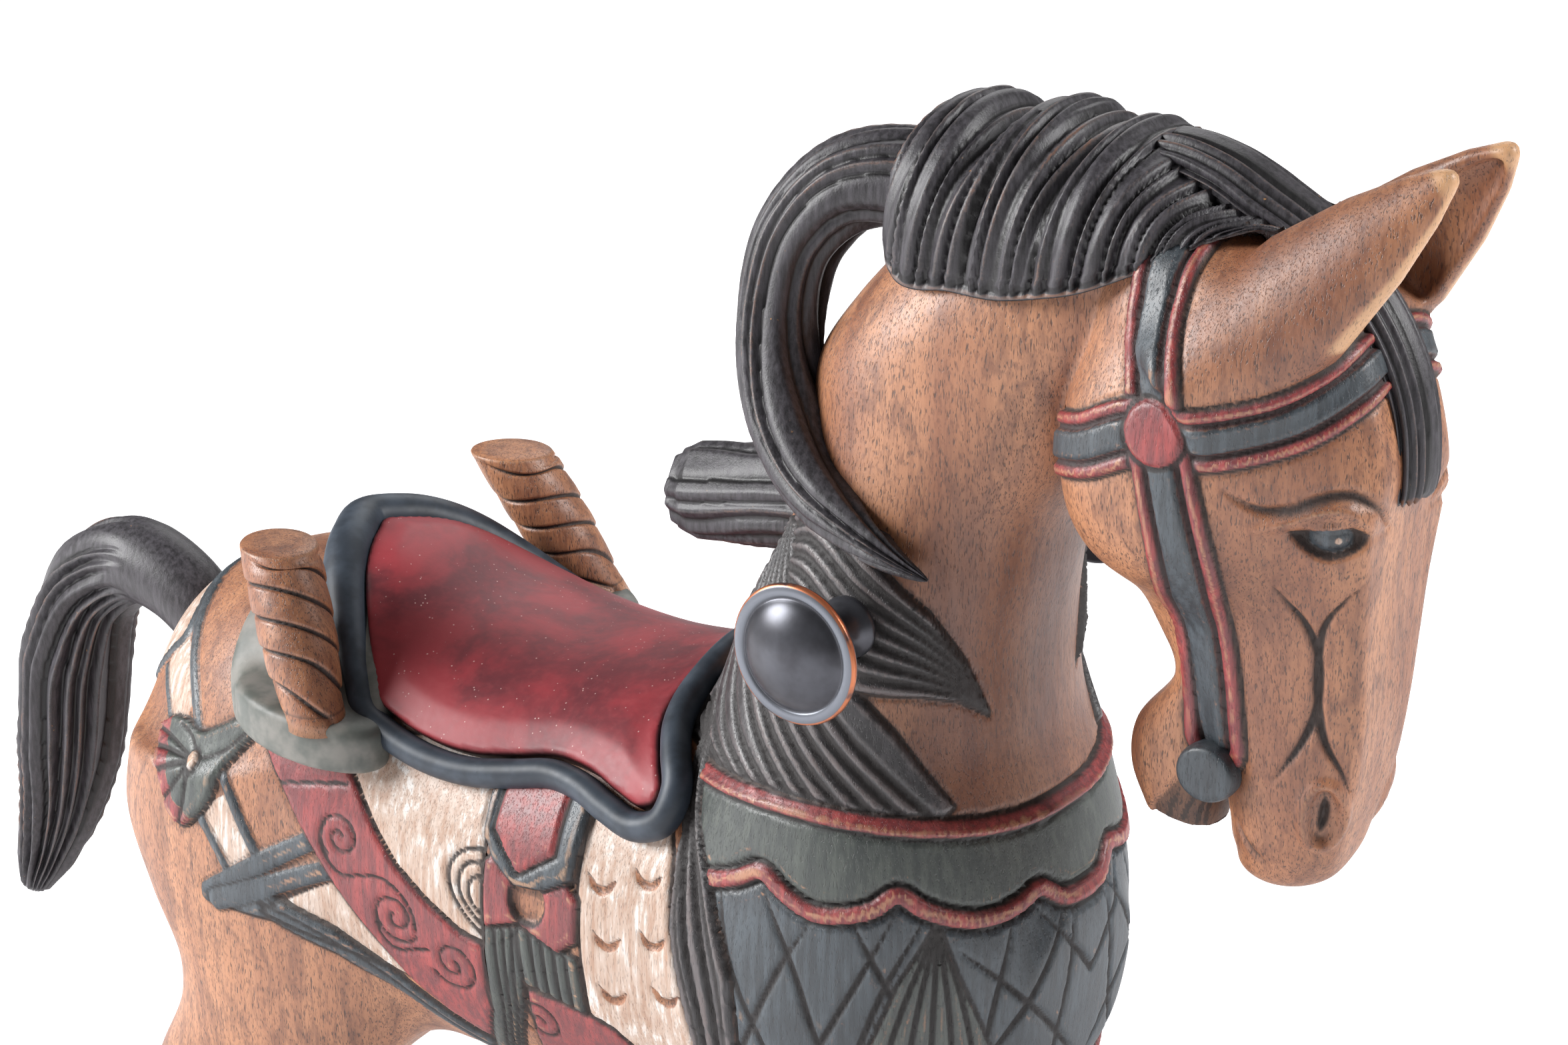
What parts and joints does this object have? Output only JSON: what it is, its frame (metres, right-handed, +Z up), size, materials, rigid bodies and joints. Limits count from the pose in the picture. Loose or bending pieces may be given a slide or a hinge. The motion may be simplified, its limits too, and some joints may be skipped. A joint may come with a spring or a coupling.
{
  "type": "carved wooden carousel horse figurine",
  "caption": "Carved and painted wooden carousel horse that stands on its hooves, with a saddle, bridle, twisted saddle posts and round metal neck knobs.",
  "frame": {"origin": "on the standing surface, under the middle of the figure's box", "axes": "+X the way the horse faces, +Z up, +Y to the horse's left"},
  "size_m": [0.441, 0.132, 0.437],
  "materials": {
    "stained_wood": "red-brown stained hardwood, satin, with painted harness",
    "saddle_paint": "dark red satin paint with a slate blue rim, dusty",
    "black_painted_wood": "charcoal paint rubbed through to brown on the ridges",
    "post_wood": "red-brown stained hardwood, satin",
    "dark_bronze": "oil-rubbed bronze plating, copper showing at the edge",
    "zinc_steel": "zinc plated",
    "dowel_wood": "plain hardwood dowel"
  },
  "bodies": {
    "root": {"body_rear_block": "stained_wood", "body_front_block": "stained_wood", "neck_block": "stained_wood", "head_block": "stained_wood", "saddle": "saddle_paint", "mane_crest": "black_painted_wood", "mane_arch_lock": "black_painted_wood", "mane_stub_lock": "black_painted_wood", "tail": "black_painted_wood", "hindleg_right": "stained_wood", "hindleg_left": "stained_wood", "foreleg_right": "stained_wood", "foreleg_left": "stained_wood", "saddle_post_right": "post_wood", "saddle_post_left": "post_wood", "neck_knob_right": "dark_bronze", "neck_knob_left": "dark_bronze", "knob_hanger_bolts": "zinc_steel", "body_joint_dowels": "dowel_wood", "saddle_joint_dowels": "dowel_wood", "neck_joint_dowels": "dowel_wood", "head_joint_dowels": "dowel_wood", "crest_joint_dowels": "dowel_wood", "hindleg_joint_dowels": "dowel_wood", "foreleg_joint_dowels": "dowel_wood"}
  },
  "joints": []
}
